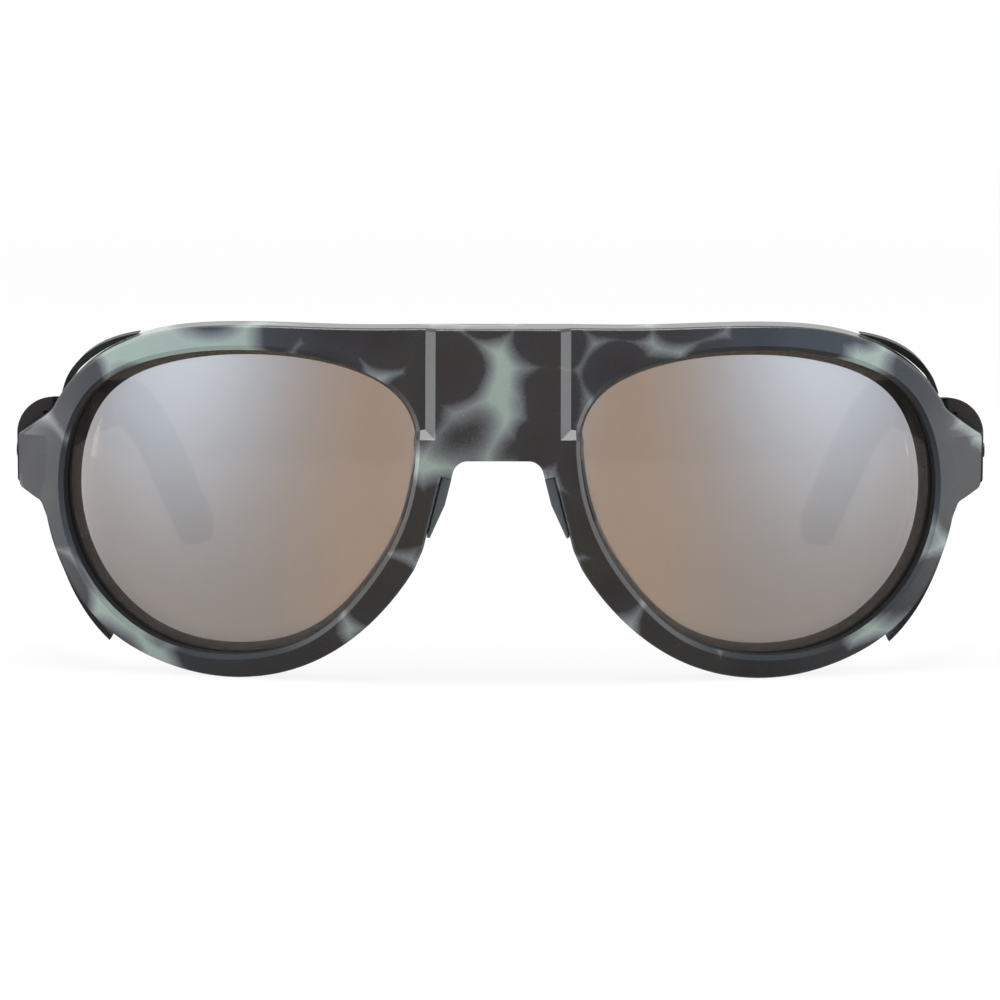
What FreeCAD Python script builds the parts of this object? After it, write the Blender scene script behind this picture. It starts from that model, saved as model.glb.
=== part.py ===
"""Glacier glasses: a moulded front with two round mirrored lenses, folding temples,
soft tips on a steel core, and side shields. Millimetres, the face towards -Y, +Y back to
the wearer, +Z up. Left and right are the wearer's, so the left pieces lie at +X: they
are made there, and the right ones are their mirror image."""

import FreeCAD, Part
import math
import os

from FreeCAD import Placement, Rotation, Vector

# ---- driving sizes ---------------------------------------------------------------
# Each half of the face is a sphere, from whose centre lens and groove are set out.
face_radius = 88.0
face_centre_x = 20.0
face_thickness = 6.2
lens_centre_x = 37.7         # where the lens's axis passes the face
lens_recess = 3.0            # from the face back to the lens
lens_thickness = 1.8
groove_depth = 0.8
seat_gap = 0.05              # between a fixed piece and its seat
opening_chamfer = 0.75
edge_round = 0.7

# Bridge panel, proud of the face, with a sloping border above the nasal rims.
panel_half_width = 9.4
panel_proud = 0.8
panel_border = 1.55
yoke_top = 9.6

# Outline of the right half seen from the front, as (x, z) from the frame's middle.
brow_points = [(0, 25.7), (11, 25.7), (22, 25.7), (42, 25.8), (53, 24.2), (61.5, 20.2), (68.6, 11.7)]
end_top = (74.4, 7.5)
end_bottom = (74.2, -0.4)
end_heel = (70.5, -2.3)
cheek_points = [(69.6, -4.6), (67.1, -12.5), (61.1, -20.9), (52.5, -26.0), (40.5, -28.2),
                (29.2, -25.8), (17.8, -17.4), (12.6, -10.4)]
nose_low = (11.3, -7.4)
nose_high = (7.9, 6.05)
outline_rounds = [(brow_points[-1], 4.0), (end_top, 0.8), (end_bottom, 1.0),
                  (end_heel, 1.2), (cheek_points[0], 1.2), (cheek_points[-1], 5.0),
                  (nose_low, 5.0)]

# Lens opening at its chamfer, as (sideways, up) from the lens axis.
opening_points = [(-25.9, 7.0), (-22.6, 16.4), (-12.0, 21.6), (1.0, 23.0), (14.5, 21.5),
                  (26.6, 15.5), (31.8, 0.6), (27.8, -13.7), (17.1, -23.0), (3.6, -25.3),
                  (-9.0, -21.9), (-18.2, -13.3)]

# End piece, with a facet that slopes back under a brow.
end_depth = 5.7              # behind the face's outer corner
end_inner_x = 66.6
end_inner_round = 1.5
facet_x = 70.05              # at mid height
facet_slope = 48.0
facet_lean = 0.07            # sideways for each millimetre down
facet_top = 7.8

# Nose flange, moulded on the frame, and the soft pad on it.
flange_start = 2.5
flare_start = 4.0
flare_angle = 28.0
flange_reach = 9.0
flange_thickness = 1.8
pad_thickness = 1.5
pad_front = 0.2
pad_reach = 9.8
pad_stop = 2.3               # the frame's shoulder above the pad, measured down the edge
pad_below = 1.9
pad_lead = 5.5               # length over which the pad's lower end thins
pad_thin_end = 0.55
pad_round = 0.25
arch_round = 2.3

# Hinge, on an upright axis behind the end piece.
hinge_x = 70.0
hinge_setback = 4.4
lug_radius = 2.4
lug_height = 2.6
lug_base_z = 0.0
knuckle_height = 4.0
hinge_side_gap = 0.1
turn_gap = 0.3
butt_gap = 0.3
screw_radius = 0.8
screw_fit = 0.05
head_radius = 1.4
head_height = 0.9
head_slot = 0.4
nut_flats = 3.0
nut_height = 1.2

# Temple arm. It runs straight back, then leans in towards the head. Its front end is a
# hood over the hinge, pierced for the screwdriver.
arm_outer = 5.0              # outer face, from the hinge axis
arm_thickness = 4.1
arm_length = 66.0
arm_top = 12.85
arm_bottom = -0.6
arm_end_height = 6.2
lean_start = 24.0
lean_ease = 12.0
lean_angle = 7.5
inner_lean_angle = 5.5       # less than outside, so that the arm thins
shoulder_round = 5.7
arm_edge_round = 0.8
hood_inner = -1.9            # from the hinge axis
hood_back = 2.8
hood_gap = 0.3
hood_corner = 1.5
driver_slack = 0.3
pip_radius = 1.1             # raised pip on the outer face
pip_height = 0.7
pip_back = 2.0
pip_z = 3.9

# Soft tip, and the wire in it.
tip_height = 7.4
tip_thickness = 6.2
tip_start_thickness = 4.2    # at the arm
tip_corner = 1.6
tip_straight = 10.0
tip_bend_radius = 36.0
tip_bend = 50.0
tip_cant = 12.0
tip_end_round = 2.2
wire_radius = 0.7
wire_in_arm = 12.0
wire_short = 12.0            # the wire stops this far before the tip's end
cord_hole_radius = 1.25
cord_hole_from_end = 5.0

# Side shield: a thin shell round the outer rim, clear of it so that it swings past.
shield_gap = 0.2
shield_seat = 0.15           # between the shell and the arm
shield_thickness = 1.1
shield_brow_span = (0.75, 0.975)
shield_brow_edge = 0.12      # share of the thickness left where the upper wing runs out
shield_tuck = 0.4            # how far the upper wing's root draws in behind the rim
shield_tuck_onset = 8        # power of the share by which the tuck comes in
shield_cheek_span = (0.03, 0.281)
shield_cheek_thickness = 0.5
shield_flare = 0.8           # added to the gap at the lower wing's end
shield_flat_top = 9.0
shield_flat_bottom = -3.0
# Outline from the side, as (behind the hinge axis, z).
shield_rear = [(-13.8, 27.0), (-9.5, 23.0), (-3.0, 18.5), (7.0, 14.0), (17.0, 9.5), (21.5, 3.5),
               (17.5, -4.0), (8.0, -12.5), (-2.0, -19.5), (-12.5, -27.5)]
shield_low_front = [(-16.2, -27.5), (-12.2, -19.5), (-8.8, -13.0), (-6.7, -8.0), (-5.0, -2.9)]
shield_high_front = [(-2.6, 13.3), (-5.6, 15.0), (-9.3, 17.5), (-12.6, 20.8), (-15.5, 27.0)]
notch_depth = 3.1            # the hinge and the hood pass through a notch this far behind the axis
front_stud_back = 8.0        # behind the hinge axis
rear_stud_back = 17.0
stud_radius = 1.0
stud_head_radius = 2.0
stud_head_height = 0.8
stud_depth = 1.7
stud_z = 4.5

# ---- derived sizes ---------------------------------------------------------------
UP = Vector(0, 0, 1)
BACK = Vector(0, 1, 0)
RIGHT = Vector(1, 0, 0)
back_radius = face_radius - face_thickness
lens_axis_turn = math.asin((lens_centre_x - face_centre_x) / face_radius)
lens_front_radius = face_radius - lens_recess
lens_back_radius = lens_front_radius - lens_thickness
face_centre = Vector(face_centre_x, face_radius, 0)
end_rear = face_radius - math.sqrt(face_radius ** 2 - (end_top[0] - face_centre_x) ** 2) + end_depth
hinge_y = end_rear + hinge_setback
knuckle_base_z = lug_base_z + lug_height + hinge_side_gap
upper_lug_z = knuckle_base_z + knuckle_height + hinge_side_gap
screw_top_z = upper_lug_z + lug_height
arm_inner = arm_outer - arm_thickness
arm_front = butt_gap - hinge_setback
hood_bottom = screw_top_z + head_height + hood_gap
nose_edge = math.hypot(nose_low[0] - nose_high[0], nose_low[1] - nose_high[1])
depth_limit = 60.0           # longer than any cut has to reach
spare = 5.0                  # how far a tool body reaches past the piece that it shapes
side_swing = 26.0            # degrees above and below mid height, more than the front needs


# ---- small helpers ---------------------------------------------------------------
def line(a, b):
    return Part.LineSegment(a, b).toShape()


def path(points):
    return [line(a, b) for a, b in zip(points, points[1:])]


def face_of(edges):
    return Part.Face(Part.Wire(Part.__sortEdges__(edges)))


def polygon(points):
    return face_of(path(list(points) + [points[0]]))


def spline(points, closed=False):
    curve = Part.BSplineCurve()
    curve.interpolate(Points=list(points), PeriodicFlag=closed)
    return curve


def front_view(point):
    return Vector(point[0], 0, point[1])


def ball(radius):
    return Part.makeSphere(radius, face_centre)


def box(low, high):
    size = high - low
    return Part.makeBox(size.x, size.y, size.z, low)


def on_hinge(radius, low, high):
    """Upright cylinder on the hinge axis."""
    return Part.makeCylinder(radius, high - low, Vector(hinge_x, hinge_y, low), UP)


def edges_where(shape, test, samples=5):
    """Edges on which every sample point passes the test."""
    found = []
    for edge in shape.Edges:
        first, last = edge.ParameterRange
        places = [edge.valueAt(first + (last - first) * (i + 0.5) / samples) for i in range(samples)]
        if not edge.Degenerated and all(test(place) for place in places):
            found.append(edge)
    return found


def face_y(x, radius):
    """Depth of a sphere about the face's centre, at mid height."""
    return face_radius - math.sqrt(radius ** 2 - (x - face_centre_x) ** 2)


def swung(profile):
    """A plan profile turned about the level axis through the face's centre."""
    axis_point = Vector(0, face_radius, 0)
    profile.rotate(axis_point, RIGHT, -side_swing)
    return profile.revolve(axis_point, RIGHT, 2 * side_swing)


# ---- lenses ----------------------------------------------------------------------
def lens_place():
    """Placement whose X is sideways across the lens, Y up, and Z out of its front."""
    across = Vector(math.cos(lens_axis_turn), math.sin(lens_axis_turn), 0)
    return Placement(face_centre, Rotation(across, UP, across.cross(UP), "XYZ"))


def opening_wire(grow):
    """The opening's closed curve, with each point moved out along its normal."""
    base = spline([Vector(u, z, 0) for u, z in opening_points], closed=True)
    moved = []
    for u, z in opening_points:
        point = Vector(u, z, 0)
        along = base.tangent(base.parameter(point))[0]
        out = Vector(along.y, -along.x, 0)
        moved.append(point + out * math.copysign(grow, out.dot(point) * grow))
    return Part.Wire([spline(moved, closed=True).toShape()])


def opening_prism(grow):
    """The opening carried along the lens axis; grow is measured from its straight wall."""
    prism = Part.Face(opening_wire(grow - opening_chamfer)).extrude(UP * (face_radius + spare))
    prism.Placement = lens_place()
    return prism


def lens_layer(grow, slack):
    """What lies between the lens's two faces inside the grown opening."""
    layer = ball(lens_front_radius + slack).cut(ball(lens_back_radius - slack))
    return opening_prism(grow).common(layer)


def lens():
    return lens_layer(groove_depth - seat_gap, 0)


# ---- front frame -----------------------------------------------------------------
def front_outline():
    """The right half of the front as a face in the plane Y = 0."""
    brow = spline([front_view(p) for p in brow_points]).toShape()
    cheek = spline([front_view(p) for p in cheek_points]).toShape()
    side = [brow_points[-1], end_top, end_bottom, end_heel, cheek_points[0]]
    stop = nose_place().multVec(Vector(pad_stop, 0, 0))
    shoulder = nose_place().multVec(Vector(pad_stop, 0, -pad_thickness))
    nose = [front_view(cheek_points[-1]), front_view(nose_low), stop, shoulder, arch_corner(),
            Vector(0, 0, nose_high[1]), front_view(brow_points[0])]
    return face_of([brow, cheek] + path([front_view(p) for p in side]) + path(nose))


def arch_corner():
    """Where the arch under the bridge meets the line of the pad's face."""
    place = nose_place()
    down = place.Rotation.multVec(RIGHT)
    face = place.multVec(Vector(0, 0, -pad_thickness))
    return face + down * ((nose_high[1] - face.z) / down.z)


def floor_level():
    return front_outline().optimalBoundingBox().ZMin


def front_prism():
    """The outline carried straight back, with its corners rounded."""
    prism = front_outline().extrude(BACK * depth_limit)
    arch = arch_corner()
    for (x, z), radius in outline_rounds + [((arch.x, arch.z), arch_round)]:
        corner = edges_where(prism, lambda p: math.hypot(p.x - x, p.z - z) < 0.01)
        prism = prism.makeFillet(radius, corner)
    prism.translate(BACK * -spare)
    return prism


def front_slab():
    """Face, bridge panel and back of the right half."""
    border_x = panel_half_width + panel_border
    wide = end_top[0] + spare

    def arc(x0, x1, radius):
        return Part.Arc(*(Vector(x, face_y(x, radius), 0) for x in (x0, (x0 + x1) / 2, x1))).toShape()

    def at(x, radius):
        return Vector(x, face_y(x, radius), 0)

    panel = [Vector(0, -panel_proud, 0), Vector(panel_half_width, -panel_proud, 0), at(border_x, face_radius)]
    back = [at(border_x, back_radius), Vector(0, face_y(border_x, back_radius), 0), panel[0]]
    edges = path(panel) + [arc(border_x, wide, face_radius)]
    edges += path([at(wide, face_radius), at(wide, back_radius)]) + [arc(wide, border_x, back_radius)]
    return swung(face_of(edges + path(back)))


def yoke():
    """Low part of the bridge: an arc runs the panel's face out onto the nasal rims."""
    span = face_centre_x - panel_half_width
    radius = (span ** 2 + panel_proud ** 2 + 2 * panel_proud * face_radius) / (2 * panel_proud)
    centre = Vector(panel_half_width, radius - panel_proud, 0)
    towards = Vector(face_centre_x, face_radius, 0) - centre
    turn = math.atan2(towards.x, -towards.y)

    def arc_point(angle):
        return centre + Vector(math.sin(angle), -math.cos(angle), 0) * radius

    level = Vector(0, -panel_proud, 0)
    depth = BACK * lens_recess
    arc = Part.Arc(arc_point(0), arc_point(turn / 2), arc_point(turn)).toShape()
    edges = [arc, line(level, arc_point(0))]
    edges += path([arc_point(turn), arc_point(turn) + depth, level + depth, level])
    below = box(Vector(0, -depth_limit, -depth_limit), Vector(depth_limit, depth_limit, 0))
    below.rotate(Vector(0, 0, 0), RIGHT, 45)
    below.translate(Vector(0, 0, yoke_top))
    return swung(face_of(edges)).common(below)


def is_front(p):
    return (p - face_centre).Length > face_radius - 0.05 or p.y < 0


def along_wire(wire, move):
    """Test for points that lie on a flat wire after being moved onto its plane."""
    return lambda p: Part.Vertex(move(p)).distToShape(wire)[0] < 0.05


def shaped_rim():
    """The half front with its opening, chamfered inside and rounded outside."""
    prism = front_prism()
    rim = prism.common(front_slab().fuse(yoke())).cut(opening_prism(0))
    to_lens = lens_place().inverse()

    def flat_on_lens(p):
        q = to_lens.multVec(p)
        return Vector(q.x, q.y, 0)

    on_opening = along_wire(opening_wire(-opening_chamfer), flat_on_lens)
    rim = rim.makeChamfer(opening_chamfer, edges_where(rim, lambda p: is_front(p) and on_opening(p)))
    plan = Part.Wire(Part.__sortEdges__(edges_where(prism, lambda p: abs(p.y + spare) < 0.01)))
    on_plan = along_wire(plan, lambda p: Vector(p.x, -spare, p.z))
    to_nose = nose_place().inverse()

    def on_stop(p):
        return abs(to_nose.multVec(p).x - pad_stop) < 0.01

    outer = edges_where(rim, lambda p: is_front(p) and p.x > 0.01 and on_plan(p) and not on_stop(p))
    return rim.makeFillet(edge_round, outer)


def end_block():
    """Solid end piece behind the face, deep enough to carry the hinge."""
    low = Vector(end_inner_x, 0, end_heel[1])
    high = Vector(end_top[0] + spare, end_rear, brow_points[-1][1])
    block = box(low, high)
    corner = edges_where(block, lambda p: abs(p.x - end_inner_x) + abs(p.y - end_rear) < 0.01)
    return block.makeFillet(end_inner_round, corner).common(front_prism()).common(ball(back_radius + 1))


def side_facet():
    """Wedge taken off the end piece, so that its side slopes back below a brow."""
    slope = math.tan(math.radians(facet_slope))
    start_y = face_y(facet_x, face_radius)
    reach = end_top[0] - facet_x + spare
    low = end_heel[1] - spare
    plan = [(-reach, -reach * slope), (reach, reach * slope), (reach, -reach * slope)]
    wedge = polygon([Vector(facet_x - facet_lean * low + x, start_y + y, low) for x, y in plan])
    return wedge.extrude(Vector(-facet_lean, 0, 1) * (facet_top - low))


def hinge_lug(base_z):
    """Round lug on the hinge axis with a neck to the end piece."""
    top = base_z + lug_height
    neck = box(Vector(hinge_x - lug_radius, end_rear - 1, base_z),
               Vector(hinge_x + arm_inner - turn_gap, hinge_y, top))
    return on_hinge(lug_radius, base_z, top).fuse(neck)


def hexagon(grow):
    side = (nut_flats / 2 + grow) / math.cos(math.pi / 6)
    corners = [Vector(math.cos(i * math.pi / 3), math.sin(i * math.pi / 3), 0) * side for i in range(6)]
    prism = polygon(corners).extrude(UP * (nut_height + grow))
    prism.translate(Vector(hinge_x, hinge_y, lug_base_z))
    return prism


def nose_place():
    """Placement on the nose edge: X down the edge, Y back, Z out from the nose."""
    high = front_view(nose_high)
    down = (front_view(nose_low) - high).normalize()
    return Placement(high, Rotation(down, BACK, down.cross(BACK), "XYZ"))


def nose_strip(start, reach, near, far, first, last):
    """Strip along the nose edge that runs straight back and then flares out.
    near and far are its two faces, first and last its ends along the edge."""
    flare = math.radians(flare_angle)

    def side(offset):
        bend = flare_start - offset * math.tan(flare / 2)
        end = Vector(first, bend + reach * math.cos(flare), offset + reach * math.sin(flare))
        return [Vector(first, start, offset), Vector(first, bend, offset), end]

    return polygon(side(near) + side(far)[::-1]).extrude(RIGHT * (last - first))


def nose_flange():
    flange = nose_strip(flange_start, flange_reach, 0, flange_thickness, 0, nose_edge)
    flange.Placement = nose_place()
    return flange


def flare_relief():
    """What the flare takes off the nose side of the rim behind the pad."""
    relief = nose_strip(-spare, 2 * flange_reach, -2 * spare, 0, pad_stop, 2 * nose_edge)
    relief.Placement = nose_place()
    return relief


def nose_pad():
    """Soft strip whose lower end thins until it is nearly flush with the frame."""
    first, last = pad_stop + seat_gap, nose_edge - pad_below
    face = -seat_gap - pad_thickness
    pad = nose_strip(pad_front, pad_reach, face, -seat_gap, first, last)
    lead = [Vector(last - pad_lead, 0, face), Vector(last, 0, -pad_thin_end), Vector(last, 0, face)]
    pad = pad.cut(polygon(lead).extrude(BACK * (pad_front + pad_reach)))
    pad = pad.makeFillet(pad_round, pad.Edges)
    pad.Placement = nose_place()
    return pad


def front_half():
    behind = box(Vector(0, end_rear, -depth_limit), Vector(end_top[0] + spare, depth_limit, depth_limit))
    rim = shaped_rim().cut([flare_relief(), behind])
    body = rim.fuse([end_block(), nose_flange()]).cut([opening_prism(0), side_facet()])
    body = body.fuse([hinge_lug(lug_base_z), hinge_lug(upper_lug_z)])
    bore = on_hinge(screw_radius + screw_fit, lug_base_z - spare, screw_top_z + spare)
    return body.cut([lens_layer(groove_depth, seat_gap), bore, hexagon(screw_fit)])


def front_frame():
    half = front_half()
    return half.fuse(mirrored(half)).removeSplitter()


def mirrored(shape):
    return shape.mirror(Vector(0, 0, 0), RIGHT)


# ---- hinge screw and nut ---------------------------------------------------------
def hinge_screw():
    shank = on_hinge(screw_radius, lug_base_z, screw_top_z)
    head = on_hinge(head_radius, screw_top_z, screw_top_z + head_height)
    slot_low = Vector(hinge_x - head_slot / 2, hinge_y - head_radius, screw_top_z + head_height / 2)
    slot_high = Vector(hinge_x + head_slot / 2, hinge_y + head_radius, screw_top_z + head_height + spare)
    return shank.fuse(head).cut(box(slot_low, slot_high))


def hinge_nut():
    bore = on_hinge(screw_radius + screw_fit, lug_base_z - spare, lug_base_z + nut_height + spare)
    return hexagon(0).cut(bore)


# ---- temple arm ------------------------------------------------------------------
def lean(back, angle):
    """How far a side of the arm has moved inwards at a distance behind the hinge axis:
    nothing, then an arc, then a straight run at the angle."""
    turn = math.radians(angle)
    past = max(0.0, back - lean_start)
    radius = lean_ease / math.sin(turn)
    on_arc = min(past, lean_ease)
    return radius - math.sqrt(radius ** 2 - on_arc ** 2) + (past - on_arc) * math.tan(turn)


def arm_side(across, angle):
    """One side of the arm in plan, from its front end to beyond its rear end."""
    places = [arm_front, lean_start, lean_start + lean_ease / 2, lean_start + lean_ease, arm_length + spare]
    points = [Vector(hinge_x + across - lean(back, angle), hinge_y + back, arm_bottom) for back in places]
    return [line(*points[:2]), Part.Arc(*points[1:4]).toShape(), line(*points[3:])]


def crown():
    """Everything under the arm's top, which slopes down to the rear and is rounded
    into the outer side at the front."""
    length = arm_length - arm_front
    slope = math.atan2(arm_top - arm_bottom - arm_end_height, length)
    start = Vector(0, hinge_y + arm_front, arm_top)
    outer, low = hinge_x + arm_outer, -depth_limit
    profile = polygon([start + Vector(x, -spare, z) for x, z in ((0, 0), (outer, 0), (outer, low), (0, low))])
    prism = profile.extrude(BACK * (length + 3 * spare))
    shoulder = edges_where(prism, lambda p: abs(p.x - outer) < 0.01 and abs(p.z - arm_top) < 0.01)
    prism = prism.makeFillet(shoulder_round, shoulder)
    prism.rotate(start, RIGHT, -math.degrees(slope))
    return prism


def arm_end():
    outer = arm_outer - lean(arm_length, lean_angle)
    inner = arm_inner - lean(arm_length, inner_lean_angle)
    return Vector(hinge_x + (outer + inner) / 2, hinge_y + arm_length, arm_bottom + arm_end_height / 2)


def arm_blank():
    """The arm and its hood, with their long edges rounded."""
    outer, inner = arm_side(arm_outer, lean_angle), arm_side(arm_inner, inner_lean_angle)
    ends = [line(outer[0].Vertexes[0].Point, inner[0].Vertexes[0].Point),
            line(outer[2].Vertexes[-1].Point, inner[2].Vertexes[-1].Point)]
    plan = face_of(outer + inner + ends).extrude(UP * (arm_top - arm_bottom + spare))
    inner_x, top = hinge_x + hood_inner, arm_top + spare
    hood = box(Vector(inner_x, hinge_y + arm_front, hood_bottom),
               Vector(hinge_x + arm_inner + 1, hinge_y + hood_back, top))
    corners = edges_where(hood, lambda p: abs(p.x - inner_x) < 0.01 and hood_bottom + 0.01 < p.z < top - 0.01)
    arm = plan.fuse(hood.makeFillet(hood_corner, corners)).common(crown())

    def is_long(p):
        back = p.y - hinge_y
        at_bottom = abs(p.z - arm_bottom) < 0.01 and back > arm_front + 0.01
        inside = abs(p.x - hinge_x - arm_inner + lean(back, inner_lean_angle)) < 0.01
        at_top_inside = inside and back > hood_back and p.z > arm_end_height / 2
        return back < arm_length + spare - 0.01 and (at_bottom or at_top_inside)

    return arm.makeFillet(arm_edge_round, edges_where(arm, is_long))


def temple():
    arm = arm_blank()
    for low, high in ((arm_bottom - spare, knuckle_base_z), (knuckle_base_z + knuckle_height, hood_bottom)):
        arm = arm.cut(on_hinge(lug_radius + turn_gap, low, high))
    web = box(Vector(hinge_x, hinge_y - lug_radius, knuckle_base_z),
              Vector(hinge_x + arm_inner + 1, hinge_y + lug_radius, knuckle_base_z + knuckle_height))
    knuckle = on_hinge(lug_radius, knuckle_base_z, knuckle_base_z + knuckle_height)
    pip = Part.makeCylinder(pip_radius, pip_height + 1,
                            Vector(hinge_x + arm_outer - 1, hinge_y + pip_back, pip_z), RIGHT)
    arm = arm.fuse([knuckle, web, pip])
    arm = arm.cut([on_hinge(screw_radius + screw_fit, arm_bottom, hood_bottom),
                   on_hinge(head_radius + driver_slack, hood_bottom - hood_gap / 2, arm_top + spare)])
    beyond = Part.makeBox(3 * spare, 2 * arm_top, 2 * arm_top, Vector(0, -arm_top, -arm_top))
    beyond.Placement = tip_place()
    return arm.cut([beyond, core(wire_radius + seat_gap, seat_gap)] + stud_holes())


# ---- temple tip and core wire ----------------------------------------------------
def tip_place():
    """Placement at the arm's end: X along the arm, Y down in the canted bend plane."""
    turn = math.radians(lean_angle)
    cant = math.radians(tip_cant)
    along = Vector(-math.sin(turn), math.cos(turn), 0)
    outward = Vector(math.cos(turn), math.sin(turn), 0)
    down = outward * -math.sin(cant) - UP * math.cos(cant)
    return Placement(arm_end(), Rotation(along, down, along.cross(down), "XYZ"))


def tip_tail():
    """Length of the straight tail, so that its rounded end just meets the floor."""
    bend = math.radians(tip_bend)
    cant = math.radians(tip_cant)
    drop = arm_end().z - floor_level() - tip_end_round - (tip_thickness / 2 - tip_end_round) * math.sin(cant)
    fixed = tip_bend_radius * (1 - math.cos(bend)) + (tip_height / 2 - tip_end_round) * math.cos(bend)
    return (drop / math.cos(cant) - fixed) / math.sin(bend) + tip_end_round


def bent(section, before, after, start=None):
    """A section swept along the arm's end, round the bend, and down the tail. Where a
    start section is given, the straight part grows from it."""
    bend = math.radians(tip_bend)
    centre = Vector(tip_straight, tip_bend_radius, 0)
    first, section = (start or section).copy(), section.copy()
    first.translate(RIGHT * -before)
    section.translate(RIGHT * tip_straight)
    run = Part.makeLoft([first.OuterWire, section.OuterWire], True, True)
    curve = section.revolve(centre, UP, tip_bend)
    section.rotate(centre, UP, tip_bend)
    tail = section.extrude(Vector(math.cos(bend), math.sin(bend), 0) * after)
    return run.fuse([curve, tail]).removeSplitter()


def core(radius, slack):
    """The wire's room at slack, or the wire itself at none."""
    disc = Part.Face(Part.Wire(Part.makeCircle(radius, Vector(0, 0, 0), RIGHT)))
    wire = bent(disc, wire_in_arm + slack, tip_tail() - wire_short + slack)
    wire.Placement = tip_place()
    return wire


def tip_section(thickness):
    """Rounded section across the tip, in the plane X = 0."""
    block = Part.makeBox(1, tip_height, thickness, Vector(0, -tip_height / 2, -thickness / 2))
    block = block.makeFillet(tip_corner, edges_where(block, lambda p: 0.01 < p.x < 0.99))
    return [face for face in block.Faces if face.CenterOfMass.x < 0.01][0]


def tip():
    sleeve = bent(tip_section(tip_thickness), 0, tip_tail(), tip_section(tip_start_thickness))
    bend = math.radians(tip_bend)
    tail = Vector(math.cos(bend), math.sin(bend), 0)
    centre = Vector(tip_straight, tip_bend_radius, 0)
    end = centre + Vector(tail.y, -tail.x, 0) * tip_bend_radius + tail * tip_tail()
    sleeve = sleeve.makeFillet(tip_end_round, edges_where(sleeve, lambda p: (p - end).dot(tail) > -0.01))
    start = end - tail * cord_hole_from_end - UP * tip_thickness
    hole = Part.makeCylinder(cord_hole_radius, 2 * tip_thickness, start, UP)
    sleeve = sleeve.cut(hole)
    sleeve.Placement = tip_place()
    return sleeve.cut(core(wire_radius + seat_gap, seat_gap))


# ---- side shield -----------------------------------------------------------------
def beside(points, span, gap, count=7):
    """Points outside a span of the spline through an outline's points. The gap is a
    function of the share of the span that lies behind."""
    curve = spline([front_view(p) for p in points])
    first, last = curve.FirstParameter, curve.LastParameter
    found = []
    for i in range(count):
        share = i / (count - 1)
        place = first + (last - first) * (span[0] + (span[1] - span[0]) * share)
        along = curve.tangent(place)[0]
        found.append(curve.value(place) + Vector(-along.z, 0, along.x) * gap(share))
    return found


def shield_inner_x():
    """Inner face of the shell where it lies flat along the arm."""
    return hinge_x + arm_inner - shield_seat - shield_thickness


def shield_line(layer):
    """The shell's inner face in front view at layer 0, and its outer face at layer 1."""
    flat_x = shield_inner_x() + shield_thickness * layer
    flat = [Vector(flat_x, 0, shield_flat_top), Vector(flat_x, 0, shield_flat_bottom)]

    def brow_gap(share):
        swell = shield_brow_edge + (1 - shield_brow_edge) * math.sin(math.pi * share)
        inner = shield_gap - shield_tuck * share ** shield_tuck_onset
        return inner * (1 - layer) + (shield_gap + shield_thickness * swell) * layer

    def cheek_gap(share):
        return shield_gap + shield_flare * share ** 2 + shield_cheek_thickness * layer

    brow = beside(brow_points, shield_brow_span, brow_gap)
    cheek = beside(cheek_points, shield_cheek_span, cheek_gap)
    return [spline(brow + flat[:1]).toShape(), line(*flat), spline(flat[1:] + cheek).toShape()]


def shield_side():
    """The shield seen from the side, with the notch for the hinge, as a solid across it."""
    def curve(places):
        return spline([Vector(0, hinge_y + y, z) for y, z in places]).toShape()

    low, high = shield_low_front[-1], shield_high_front[0]
    notch = [low, (notch_depth, low[1]), (notch_depth, high[1]), high]
    edges = [curve(shield_rear), curve(shield_low_front), curve(shield_high_front)]
    edges += path([Vector(0, hinge_y + y, z) for y, z in notch])
    for a, b in ((shield_rear[0], shield_high_front[-1]), (shield_rear[-1], shield_low_front[0])):
        edges.append(line(Vector(0, hinge_y + a[0], a[1]), Vector(0, hinge_y + b[0], b[1])))
    return face_of(edges).extrude(RIGHT * (hinge_x + spare))


def shield():
    inner, outer = shield_line(0), shield_line(1)
    ends = [line(inner[0].Vertexes[0].Point, outer[0].Vertexes[0].Point),
            line(inner[2].Vertexes[-1].Point, outer[2].Vertexes[-1].Point)]
    shell = face_of(inner + outer + ends).extrude(BACK * depth_limit)
    return shell.common(shield_side()).cut(stud_holes())


def stud_pin(back, radius, slack):
    """Pin from the shield's inner face into the arm."""
    start = Vector(shield_inner_x(), hinge_y + back, stud_z)
    return Part.makeCylinder(radius, hinge_x + arm_inner + stud_depth + slack - start.x, start, RIGHT)


def stud_holes():
    return [stud_pin(back, stud_radius + seat_gap, seat_gap) for back in (front_stud_back, rear_stud_back)]


def stud(back):
    head_low = Vector(shield_inner_x() - stud_head_height, hinge_y + back, stud_z)
    head = Part.makeCylinder(stud_head_radius, stud_head_height, head_low, RIGHT)
    return stud_pin(back, stud_radius, 0).fuse(head)


# ---- assembly --------------------------------------------------------------------
def base_middle(rear_piece):
    """Middle of the ground that the glasses cover, from the bridge to the tips."""
    return Vector(0, (rear_piece.optimalBoundingBox().YMax - panel_proud) / 2, floor_level())


def main():
    os.makedirs("parts", exist_ok=True)
    pairs = {"lens": lens(), "nose_pad": nose_pad(), "hinge_screw": hinge_screw(), "hinge_nut": hinge_nut(),
             "temple": temple(), "temple_tip": tip(), "core_wire": core(wire_radius, 0),
             "side_shield": shield(), "shield_front_stud": stud(front_stud_back),
             "shield_rear_stud": stud(rear_stud_back)}
    nodes = {"front_frame": front_frame()}
    for name, shape in pairs.items():
        nodes["left_" + name] = shape
        nodes["right_" + name] = mirrored(shape)
    origin = base_middle(nodes["left_temple_tip"])
    for name, shape in nodes.items():
        shape.translate(origin * -1)
        shape.exportStep("parts/" + name + ".step")


if __name__ == "__main__":
    main()
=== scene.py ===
import math

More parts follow.
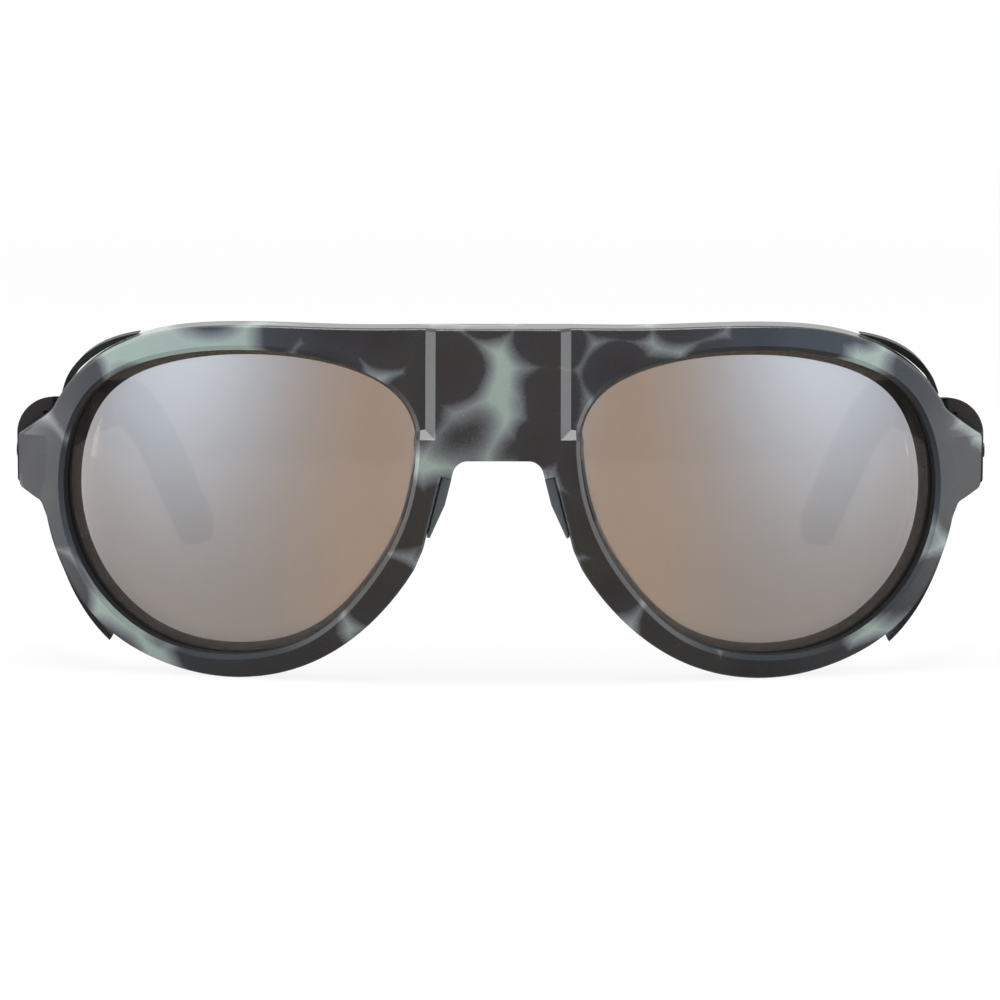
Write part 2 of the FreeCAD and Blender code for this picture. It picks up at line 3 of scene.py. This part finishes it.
import bpy
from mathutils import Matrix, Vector


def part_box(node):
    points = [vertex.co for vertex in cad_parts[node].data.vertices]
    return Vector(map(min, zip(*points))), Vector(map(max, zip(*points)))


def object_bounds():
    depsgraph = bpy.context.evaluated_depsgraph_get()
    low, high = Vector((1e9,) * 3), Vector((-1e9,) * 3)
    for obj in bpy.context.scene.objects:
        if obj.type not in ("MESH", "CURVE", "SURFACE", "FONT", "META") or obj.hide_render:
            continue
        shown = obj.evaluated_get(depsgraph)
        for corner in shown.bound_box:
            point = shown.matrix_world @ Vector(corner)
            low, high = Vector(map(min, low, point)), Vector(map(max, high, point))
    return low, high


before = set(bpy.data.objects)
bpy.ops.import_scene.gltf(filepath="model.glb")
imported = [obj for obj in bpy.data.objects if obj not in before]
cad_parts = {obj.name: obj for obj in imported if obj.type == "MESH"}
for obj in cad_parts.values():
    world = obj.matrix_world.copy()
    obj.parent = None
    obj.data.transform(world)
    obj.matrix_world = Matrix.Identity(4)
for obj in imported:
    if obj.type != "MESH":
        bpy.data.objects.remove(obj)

print("frame loaded:", len(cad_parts), "nodes")
cadLow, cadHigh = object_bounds()
millimetre = 0.001


def linearColour(hexCode):
    # each sRGB channel c becomes ((c + 0.055) / 1.055) ^ 2.4, or c / 12.92 in the darkest part
    channels = [int(hexCode[i:i + 2], 16) / 255 for i in (1, 3, 5)]
    return [((c + 0.055) / 1.055) ** 2.4 if c > 0.04045 else c / 12.92 for c in channels] + [1.0]


def addNode(tree, kind, inputs=(), **settings):
    # adds one shader node; its sockets, by place or by name, take values or other nodes' sockets
    node = tree.nodes.new("ShaderNode" + kind)
    for name, value in settings.items():
        setattr(node, name, value)
    for name, value in inputs.items() if isinstance(inputs, dict) else enumerate(inputs):
        if isinstance(value, bpy.types.NodeSocket):
            tree.links.new(value, node.inputs[name])
        else:
            node.inputs[name].default_value = value
    return node


def newMaterial(name):
    material = bpy.data.materials.new(name)
    material.use_nodes = True
    tree = material.node_tree
    tree.nodes.clear()
    return material, tree


def perMetre(sizeMm):
    # texture scale at which one feature of the pattern is this wide
    return 1 / (sizeMm * millimetre)


def dress(material, *nodeNames):
    for name in nodeNames:
        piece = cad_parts[name]
        piece.data.materials.clear()
        piece.data.materials.append(material)


def bothSides(*names):
    return [side + name for name in names for side in ("left_", "right_")]


tortoise = {
    "drop": 10.5,            # mm across a dark drop of pigment
    "wander": 2.2,           # mm by which the flow pulls the drops out of round
    "unevenness": 0.75,      # 0 sets the drops in even rows, 1 scatters them
    "shift": (0.3742, -0.1699, 0.3879),     # metres, puts a pale star on the bridge
    "tones": [               # from a drop's middle outwards, at distances measured in drops
        (0.0, "#121319"), (0.25, "#121319"), (0.58, "#1e2025"), (0.67, "#5d6265"), (0.79, "#87968f")],
    "warmDark": "#1d1f1e",
    "warmPatch": 16,         # mm across the patches where the drops turn to the warmer dark
    "warmStart": 0.63,       # the warmth comes in from the drop's edge inwards, in drops from its middle
    "warmFull": 0.55,
    "grain": 0.25,           # mm, the speckle along the drops' edges
    "speckle": 0.012,        # how far the speckle moves an edge, in drops
    "skinDepth": 0.02,       # mm, how uneven the specks leave the skin
    "smoothest": 0.20,       # roughness of the skin between the specks
    "dullest": 0.30,         # and on them
    "gloss": 0.85,           # the lacquer over the nylon mirrors more than bare nylon's 0.5
    "index": 1.53,
}

# painted shade on the walls round the lens openings, which lie deep and in shade
grooveShade = {
    "colour": "#08080a",     # painted shade: near-black on the walls round the lenses, standing in for the shade deep in the grooves
    "roughness": 0.85,
    "openingMiddle": (0.0377, 0.0282),          # metres beside the glasses' middle and above the ground
    "curveCentre": (0.0200, 0.0146, 0.0282),    # of the left half's curve
    "deepest": 0.0826,       # metres from that centre, just inside the back
    "highest": 0.0872,       # just under the chamfer
    "steepest": 0.5,         # a wall's normal points hardly forwards or backwards
}


def shadedWallMask(tree, values):
    # mask of painted shade: 1 where the surface faces the middle of its own opening, between the chamfer and
    # the back of the front, so that the deep walls round the lenses are painted dark as if in shade; the
    # right half is folded over the left, so x counts as |x|
    coordinates = addNode(tree, "TexCoord").outputs
    x, y, z = addNode(tree, "SeparateXYZ", [coordinates["Object"]]).outputs
    normal = addNode(tree, "SeparateXYZ", [coordinates["Normal"]]).outputs
    side = addNode(tree, "Math", [x], operation="SIGN").outputs[0]
    beside = addNode(tree, "Math", [x, side], operation="MULTIPLY").outputs[0]
    outward = addNode(tree, "Math", [normal["X"], side], operation="MULTIPLY").outputs[0]
    middleX, middleZ = values["openingMiddle"]
    offX = addNode(tree, "Math", [beside, middleX], operation="SUBTRACT").outputs[0]
    offZ = addNode(tree, "Math", [z, middleZ], operation="SUBTRACT").outputs[0]
    facing = addNode(tree, "Math", [offX, outward], operation="MULTIPLY").outputs[0]
    facing = addNode(tree, "Math", [offZ, normal["Z"], facing], operation="MULTIPLY_ADD").outputs[0]
    place = addNode(tree, "CombineXYZ", [beside, y, z]).outputs[0]
    depth = addNode(tree, "VectorMath", [place, values["curveCentre"]], operation="DISTANCE").outputs["Value"]
    slope = addNode(tree, "Math", [normal["Y"]], operation="ABSOLUTE").outputs[0]
    conditions = [("LESS_THAN", facing, 0.0), ("GREATER_THAN", depth, values["deepest"]),
                  ("LESS_THAN", depth, values["highest"]), ("LESS_THAN", slope, values["steepest"])]
    wall = 1.0
    for comparison, measure, limit in conditions:
        holds = addNode(tree, "Math", [measure, limit], operation=comparison).outputs[0]
        wall = addNode(tree, "Math", [holds, wall], operation="MULTIPLY").outputs[0]
    return wall


def tortoiseNylon(name, values, shadePaint=None):
    # nylon moulded from two coloured melts: dark drops with pale stars left between them, edges blurred by
    # the flow, and a satin skin
    material, tree = newMaterial(name)
    place = addNode(tree, "TexCoord").outputs["Object"]
    place = addNode(tree, "Mapping", {"Vector": place, "Location": values["shift"]}).outputs["Vector"]
    flow = addNode(tree, "TexNoise", {"Vector": place, "Scale": perMetre(values["drop"]),
                                      "Detail": 1.0, "Roughness": 0.4})
    reach = [2 * values["wander"] * millimetre] * 3
    swing = addNode(tree, "VectorMath", [flow.outputs["Color"], reach, place], operation="MULTIPLY_ADD")
    drops = addNode(tree, "TexVoronoi", {"Vector": swing.outputs[0], "Scale": perMetre(values["drop"]),
                                         "Randomness": values["unevenness"]}, feature="F1")
    grain = addNode(tree, "TexNoise", {"Vector": place, "Scale": perMetre(values["grain"]),
                                       "Detail": 1.0, "Roughness": 0.6})
    speckle = addNode(tree, "MapRange", {"Value": grain.outputs[0], "From Min": 0.25, "From Max": 0.75,
                                         "To Min": -values["speckle"], "To Max": values["speckle"]})
    fromMiddle = addNode(tree, "Math", [drops.outputs["Distance"], speckle.outputs[0]], operation="ADD")
    tones = addNode(tree, "ValToRGB", [fromMiddle.outputs[0]])
    stops = tones.color_ramp.elements
    while len(stops) < len(values["tones"]):
        stops.new(0.5)
    for stop, (distance, hexCode) in zip(stops, values["tones"]):
        stop.position = distance
        stop.color = linearColour(hexCode)
    patches = addNode(tree, "TexNoise", {"Vector": place, "Scale": perMetre(values["warmPatch"]),
                                         "Detail": 1.0})
    warmth = addNode(tree, "MapRange", {"Value": patches.outputs[0], "From Min": 0.42, "From Max": 0.62})
    inDrop = addNode(tree, "MapRange", {"Value": fromMiddle.outputs[0], "From Min": values["warmStart"],
                                        "From Max": values["warmFull"]})
    share = addNode(tree, "Math", [warmth.outputs[0], inDrop.outputs[0]], operation="MULTIPLY")
    pigment = addNode(tree, "Mix", {0: share.outputs[0], 6: tones.outputs["Color"],
                                    7: linearColour(values["warmDark"])}, data_type="RGBA").outputs[2]
    dullness = addNode(tree, "MapRange", {"Value": grain.outputs[0], "To Min": values["smoothest"],
                                          "To Max": values["dullest"]})
    # painted shade: the walls round the lens openings turn near-black and matt, standing in for the shade in
    # the deep grooves
    if shadePaint:
        inShade = shadedWallMask(tree, shadePaint)
        pigment = addNode(tree, "Mix", {0: inShade, 6: pigment, 7: linearColour(shadePaint["colour"])},
                          data_type="RGBA").outputs[2]
        dullness = addNode(tree, "MapRange", {"Value": inShade, "To Min": dullness.outputs[0],
                                              "To Max": shadePaint["roughness"]})
    skin = addNode(tree, "Bump", {"Height": grain.outputs[0], "Strength": 0.08,
                                  "Distance": values["skinDepth"] * millimetre})
    nylon = addNode(tree, "BsdfPrincipled",
                    {"Base Color": pigment, "Roughness": dullness.outputs[0], "IOR": values["index"],
                     "Specular IOR Level": values["gloss"], "Normal": skin.outputs[0]})
    addNode(tree, "OutputMaterial", {"Surface": nylon.outputs[0]})
    return material


# the front's lens walls carry the painted shade
dress(tortoiseNylon("tortoiseNylonPaintedShade", tortoise, grooveShade), "front_frame")
dress(tortoiseNylon("tortoiseNylon", tortoise), *bothSides("temple"))
print("front and temples: tortoise nylon")


lens = {
    "flash": "#e3d9cf",      # the vacuum-coated metal film over brown polycarbonate
    "cover": 0.78,           # share of the light that the film stops
    "roughness": 0.02,
    "index": 1.586,
}


def flashLens(values):
    # brown polycarbonate under a thin metal flash: the film mirrors the room and lets a little light through
    material, tree = newMaterial("flashedPolycarbonate")
    body = addNode(tree, "BsdfPrincipled",
                   {"Base Color": linearColour(values["flash"]), "Metallic": values["cover"],
                    "Transmission Weight": 1.0, "Roughness": values["roughness"], "IOR": values["index"]})
    addNode(tree, "OutputMaterial", {"Surface": body.outputs[0]})
    return material


dress(flashLens(lens), *bothSides("lens"))
print("lenses: flashed polycarbonate")

# grain and cloud are mm across a grain of the tool's skin and across a cloud of tone; relief is how sharply
# the grain shows
shieldSkin = {"grain": 0.7, "cloud": 6, "low": "#1d1d20", "high": "#2e2e31", "roughness": 0.5, "relief": 0.5}
padSkin = {"grain": 0.35, "cloud": 3, "low": "#484d4f", "high": "#585d5f", "roughness": 0.5, "relief": 0.15}
tipSkin = {"grain": 0.4, "cloud": 5, "low": "#2b2d31", "high": "#393b40", "roughness": 0.52, "relief": 0.2}
studSkin = {"grain": 0.3, "cloud": 4, "low": "#18181a", "high": "#222224", "roughness": 0.4, "relief": 0.1}
grainDepth = 0.08            # mm from a hollow to a top
grainSpread = 0.08           # how much the roughness differs between the grain's hollows and its tops


def softPolymer(name, values):
    # thermoplastic rubber moulded against a grained tool: matt, with a soft sheen on the high points
    material, tree = newMaterial(name)
    place = addNode(tree, "TexCoord").outputs["Object"]
    cells = addNode(tree, "TexVoronoi", {"Vector": place, "Scale": perMetre(values["grain"]),
                                         "Smoothness": 0.4}, feature="SMOOTH_F1")
    clouds = addNode(tree, "TexNoise", {"Vector": place, "Scale": perMetre(values["cloud"]), "Detail": 3.0})
    colour = addNode(tree, "Mix", {0: clouds.outputs[0], 6: linearColour(values["low"]),
                                   7: linearColour(values["high"])}, data_type="RGBA")
    dullness = addNode(tree, "MapRange", {"Value": cells.outputs["Distance"], "From Max": 0.6,
                                          "To Min": values["roughness"] - grainSpread,
                                          "To Max": values["roughness"] + grainSpread})
    skin = addNode(tree, "Bump", {"Height": cells.outputs["Distance"], "Strength": values["relief"],
                                  "Distance": grainDepth * millimetre})
    rubber = addNode(tree, "BsdfPrincipled",
                     {"Base Color": colour.outputs[2], "Roughness": dullness.outputs[0], "IOR": 1.5,
                      "Normal": skin.outputs[0]})
    addNode(tree, "OutputMaterial", {"Surface": rubber.outputs[0]})
    return material


dress(softPolymer("grainedRubber", shieldSkin), *bothSides("side_shield"))
dress(softPolymer("softSilicone", padSkin), *bothSides("nose_pad"))
dress(softPolymer("tipRubber", tipSkin), *bothSides("temple_tip"))
dress(softPolymer("studNylon", studSkin), *bothSides("shield_front_stud", "shield_rear_stud"))
print("shields, pads, tips and studs: soft polymers")


steel = {
    "tone": "#c8c6c1",
    "marks": 0.2,            # mm between the tool's marks
    "brightest": 0.18,       # roughness between the marks
    "dullest": 0.34,         # and on them
}


def turnedSteel(values):
    # stainless steel, turned on a lathe and left bright
    material, tree = newMaterial("turnedStainless")
    place = addNode(tree, "TexCoord").outputs["Object"]
    marks = addNode(tree, "TexNoise", {"Vector": place, "Scale": perMetre(values["marks"]), "Detail": 2.0})
    dullness = addNode(tree, "MapRange", {"Value": marks.outputs[0], "To Min": values["brightest"],
                                          "To Max": values["dullest"]})
    metal = addNode(tree, "BsdfPrincipled", {"Base Color": linearColour(values["tone"]), "Metallic": 1.0,
                                             "Roughness": dullness.outputs[0]})
    addNode(tree, "OutputMaterial", {"Surface": metal.outputs[0]})
    return material


dress(turnedSteel(steel), *bothSides("hinge_screw", "hinge_nut", "core_wire"))
print("screws, nuts and wires: turned stainless steel")


view = {
    "distance": 0.70,        # metres from the aim
    "rise": 8.0,             # degrees above the horizon
    "turn": 0.6,             # degrees to the viewer's right
    "aim": (0.0003, 0.0015),     # metres beside and above the middle of the front
    "focalLength": 168.0,    # mm
    "sensor": 36,            # mm across
    "nearest": 0.01,         # metres, the closest that it sees
}


def placeCamera(values):
    # the camera stands on a circle round the front's middle, turned and raised by the two angles
    rise, turn = math.radians(values["rise"]), math.radians(values["turn"])
    towards = Vector((math.sin(turn) * math.cos(rise), -math.cos(turn) * math.cos(rise), math.sin(rise)))
    beside, above = values["aim"]
    aim = Vector((beside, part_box("front_frame")[0].y, (cadLow.z + cadHigh.z) / 2 + above))
    data = bpy.data.cameras.new("camera")
    data.lens = values["focalLength"]
    data.sensor_width = values["sensor"]
    data.clip_start = values["nearest"]
    camera = bpy.data.objects.new("camera", data)
    camera.location = aim + towards * values["distance"]
    camera.rotation_euler = (-towards).to_track_quat("-Z", "Y").to_euler()
    bpy.context.scene.collection.objects.link(camera)
    bpy.context.scene.camera = camera


def paleRays(tree):
    # 1 for the rays that show the pale background: seen directly, in gloss or through glass
    ray = addNode(tree, "LightPath").outputs
    inGloss = ray["Is Glossy Ray"]
    seen = addNode(tree, "Math", [ray["Is Camera Ray"], ray["Is Transmission Ray"]], operation="MAXIMUM")
    seen = addNode(tree, "Math", [seen.outputs[0], inGloss], operation="MAXIMUM")
    return seen.outputs[0], inGloss


room = {
    "ambient": 0.45,         # level of the world's light on the glasses
    "ahead": (0.42, 0.336, 0.273),      # what gloss mirrors from behind the camera, in linear light
    "aside": (0.30, 0.295, 0.30),
    "asideFull": 35,         # degrees from the camera at which the room has its side tone
    "softbox": (0.82, 0.98, 1.22),
    "softboxAzimuth": 47,    # degrees to each side of the camera
    "softboxRise": 25,
    "softboxWidth": 26,
    "softboxHeight": 36,
    "strip": 3.6,            # level of the upright strip of light at each side
    "stripAzimuth": 83,
    "stripRise": 0,
    "stripWidth": 9,
    "stripHeight": 36,
    "backEdge": 0.3,         # the white back half comes in between -this and this of the direction's Y
    "floorEdge": -0.5,       # and rises out of the grey floor between this and 0 of the direction's Z
}


def bellOf(tree, angle, middle, reach):
    # exp(-(a / reach)^2), where a is the angle from the middle; middle and reach are given in degrees
    off = addNode(tree, "Math", [angle, math.radians(middle)], operation="SUBTRACT").outputs[0]
    off = addNode(tree, "Math", [off, math.radians(reach)], operation="DIVIDE").outputs[0]
    square = addNode(tree, "Math", [off, off], operation="MULTIPLY").outputs[0]
    square = addNode(tree, "Math", [square, -1.0], operation="MULTIPLY").outputs[0]
    return addNode(tree, "Math", [square], operation="EXPONENT").outputs[0]


def glow(tree, azimuth, azimuthMiddle, width, rise, riseMiddle, height):
    # a patch of light that fades like a bell in both directions
    across, upright = bellOf(tree, azimuth, azimuthMiddle, width), bellOf(tree, rise, riseMiddle, height)
    return addNode(tree, "Math", [across, upright], operation="MULTIPLY").outputs[0]


def paleWorld(values):
    # a studio: pale behind the glasses, and in gloss grey on the camera's side, with a softbox and a strip of
    # light on each side of it
    world = bpy.data.worlds.new("studioRoom")
    bpy.context.scene.world = world
    world.use_nodes = True
    tree = world.node_tree
    tree.nodes.clear()
    direction = addNode(tree, "SeparateXYZ", [addNode(tree, "TexCoord").outputs["Generated"]]).outputs
    ahead = addNode(tree, "Math", [direction["Y"], -1.0], operation="MULTIPLY").outputs[0]
    around = addNode(tree, "Math", [direction["X"], ahead], operation="ARCTAN2").outputs[0]
    azimuth = addNode(tree, "Math", [around], operation="ABSOLUTE").outputs[0]
    rise = addNode(tree, "Math", [direction["Z"]], operation="ARCSINE").outputs[0]
    aside = addNode(tree, "MapRange", {"Value": azimuth, "From Max": math.radians(values["asideFull"])},
                    interpolation_type="SMOOTHSTEP")
    behind = addNode(tree, "MapRange", {"Value": direction["Y"], "From Min": -values["backEdge"],
                                        "From Max": values["backEdge"]}, interpolation_type="SMOOTHSTEP")
    above = addNode(tree, "MapRange", {"Value": direction["Z"], "From Min": values["floorEdge"],
                                       "From Max": 0.0}, interpolation_type="SMOOTHSTEP")
    back = addNode(tree, "Math", [behind.outputs[0], above.outputs[0]], operation="MULTIPLY").outputs[0]
    softbox = glow(tree, azimuth, values["softboxAzimuth"], values["softboxWidth"],
                   rise, values["softboxRise"], values["softboxHeight"])
    strip = glow(tree, azimuth, values["stripAzimuth"], values["stripWidth"],
                 rise, values["stripRise"], values["stripHeight"])
    walls = (*values["ahead"], 1)
    for share, tone in [(aside.outputs[0], values["aside"]), (softbox, values["softbox"]), (back, (1, 1, 1)),
                        (strip, (values["strip"],) * 3)]:
        walls = addNode(tree, "Mix", {0: share, 6: walls, 7: (*tone, 1)}, data_type="RGBA").outputs[2]
    seen, inGloss = paleRays(tree)
    level = addNode(tree, "MapRange", {"Value": seen, "To Min": values["ambient"], "To Max": 1.0})
    colour = addNode(tree, "Mix", {0: inGloss, 6: (1, 1, 1, 1), 7: walls}, data_type="RGBA")
    light = addNode(tree, "Background", {"Color": colour.outputs[2], "Strength": level.outputs[0]})
    addNode(tree, "OutputWorld", {"Surface": light.outputs[0]})


paper = {
    "half": 6.0,             # metres from the middle to each side
    "tone": (0.9, 0.9, 0.9, 1),
    "nearGlow": 0.88,        # share of the paper's own white near the glasses; the rest shows their shadow
    "nearEnd": 0.2,          # metres from the middle
    "whiteStart": 1.1,
}


def paleFloor(values):
    # white paper that keeps the shadow near the glasses and fades into the white room further off
    mesh = bpy.data.meshes.new("floor")
    half = values["half"]
    corners = [(-half, -half, 0), (half, -half, 0), (half, half, 0), (-half, half, 0)]
    mesh.from_pydata(corners, [], [(0, 1, 2, 3)])
    floor = bpy.data.objects.new("floor", mesh)
    bpy.context.scene.collection.objects.link(floor)
    material, tree = newMaterial("palePaper")
    sheet = addNode(tree, "BsdfDiffuse", {"Color": values["tone"]})
    away = addNode(tree, "VectorMath", [addNode(tree, "TexCoord").outputs["Object"]], operation="LENGTH")
    white = addNode(tree, "MapRange", {"Value": away.outputs["Value"], "From Min": values["nearEnd"],
                                       "From Max": values["whiteStart"], "To Min": values["nearGlow"],
                                       "To Max": 1.0}, interpolation_type="SMOOTHSTEP")
    share = addNode(tree, "Math", [paleRays(tree)[0], white.outputs[0]], operation="MULTIPLY")
    shine = addNode(tree, "Emission", {"Color": (1, 1, 1, 1), "Strength": 1.0})
    both = addNode(tree, "MixShader", [share.outputs[0], sheet.outputs[0], shine.outputs[0]])
    addNode(tree, "OutputMaterial", {"Surface": both.outputs[0]})
    mesh.materials.append(material)
    floor.visible_glossy = False


lamps = {
    # place and aim in metres, width and height of the panel in metres, watts, and whether gloss shows it:
    # the room already holds the softboxes of the two side lamps
    "leftLamp": ((-0.75, -0.15, 0.30), (0, -0.05, 0.03), (0.5, 0.7), 6.0, False),
    "rightLamp": ((0.75, -0.15, 0.30), (0, -0.05, 0.03), (0.5, 0.7), 6.0, False),
    "topLamp": ((0, -0.1, 0.9), (0, -0.02, 0.03), (0.7, 0.3), 4.0, True),
}


def addLamp(name, place, aim, size, power, inGloss):
    data = bpy.data.lights.new(name, "AREA")
    data.shape = "RECTANGLE"
    data.size, data.size_y = size
    data.energy = power
    lamp = bpy.data.objects.new(name, data)
    lamp.location = place
    lamp.rotation_euler = (Vector(aim) - Vector(place)).to_track_quat("-Z", "Y").to_euler()
    lamp.visible_glossy = inGloss
    bpy.context.scene.collection.objects.link(lamp)


bpy.context.scene.view_settings.view_transform = "Standard"
placeCamera(view)
paleWorld(room)
paleFloor(paper)
for name, settings in lamps.items():
    addLamp(name, *settings)
print("studio set:", len(lamps), "lamps")
